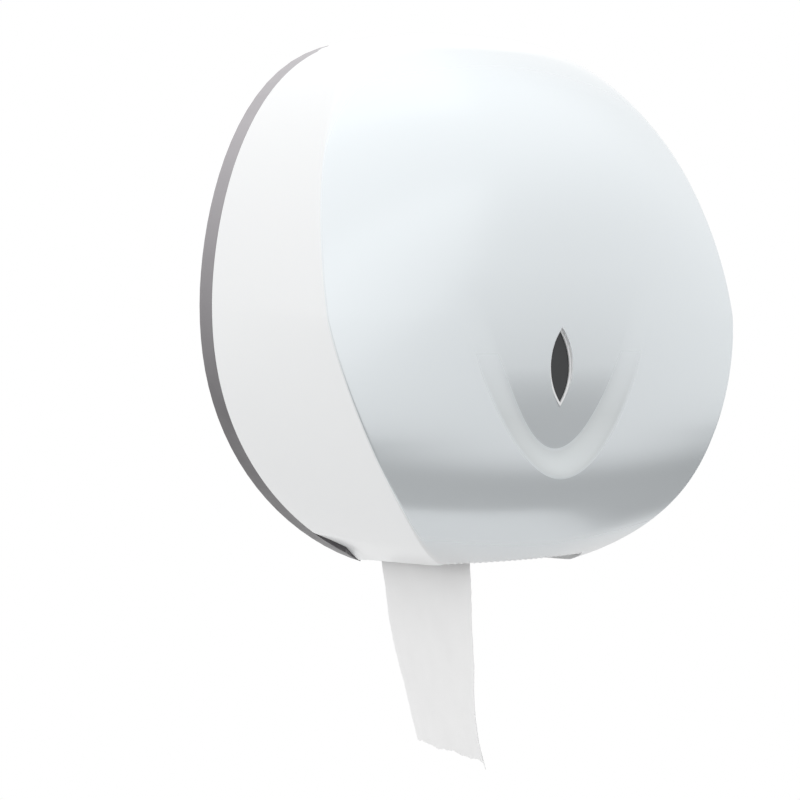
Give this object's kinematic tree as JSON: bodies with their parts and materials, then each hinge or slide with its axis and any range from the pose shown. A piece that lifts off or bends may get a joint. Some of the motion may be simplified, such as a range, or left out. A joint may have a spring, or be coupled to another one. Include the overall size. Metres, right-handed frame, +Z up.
{
  "type": "jumbo toilet roll dispenser",
  "caption": "Wall-hung jumbo toilet roll dispenser: a drop-shaped lift-up cover with a level window, a free-running roll on a spindle, a saw-toothed slot and a key lock.",
  "frame": {"origin": "on the wall face of the back plate, on the body's middle line, near mid-height", "axes": "+X to the right seen from the front, +Y into the wall, +Z up; the front looks along -Y"},
  "size_m": [0.246, 0.1295, 0.3575],
  "materials": {
    "cover_white": "glossy white moulded ABS, satin on the sides",
    "base_grey": "grey moulded ABS",
    "inner_white": "white moulded nylon",
    "smoked_lens": "smoked glossy acrylic",
    "zinc_steel": "zinc-plated",
    "lock_chrome": "chrome-plated",
    "lock_brass": "bare brass",
    "paper": "soft creped tissue",
    "core_card": "plain grey-brown board"
  },
  "bodies": {
    "base": {"back_plate": "base_grey", "spindle": "inner_white", "spindle_screws": "zinc_steel", "hub_washer": "zinc_steel", "hub_screw": "zinc_steel", "hub_cap": "inner_white", "lock_keeper": "zinc_steel", "keeper_screws": "zinc_steel", "paper_tail": "paper"},
    "cover": {"front_cover": "cover_white", "window_lens": "smoked_lens", "window_rim": "cover_white", "lens_screws": "zinc_steel", "hinge_pin_left": "zinc_steel", "hinge_pin_right": "zinc_steel", "lock_housing": "lock_chrome", "lock_washer": "zinc_steel", "lock_nut": "lock_brass"},
    "lock": {"lock_barrel": "lock_brass", "lock_cam": "zinc_steel", "cam_screw": "zinc_steel"},
    "roll": {"roll_hub": "inner_white", "core_tube": "core_card", "paper_roll": "paper"}
  },
  "joints": [
    {"name": "cover_hinge", "type": "hinge", "parent": "base", "child": "cover", "pos_m": [0, -0.026, 0.123], "axis": [-1, 0, 0], "range_deg": [0, 95]},
    {"name": "roll_spin", "type": "hinge", "parent": "base", "child": "roll", "pos_m": [0, -0.05, -0.008], "axis": [0, 1, 0], "continuous": true},
    {"name": "lock_turn", "type": "hinge", "parent": "cover", "child": "lock", "pos_m": [0.06075, -0.046, -0.11752], "axis": [0.5493, 0, -0.8356], "range_deg": [0, 90]}
  ]
}
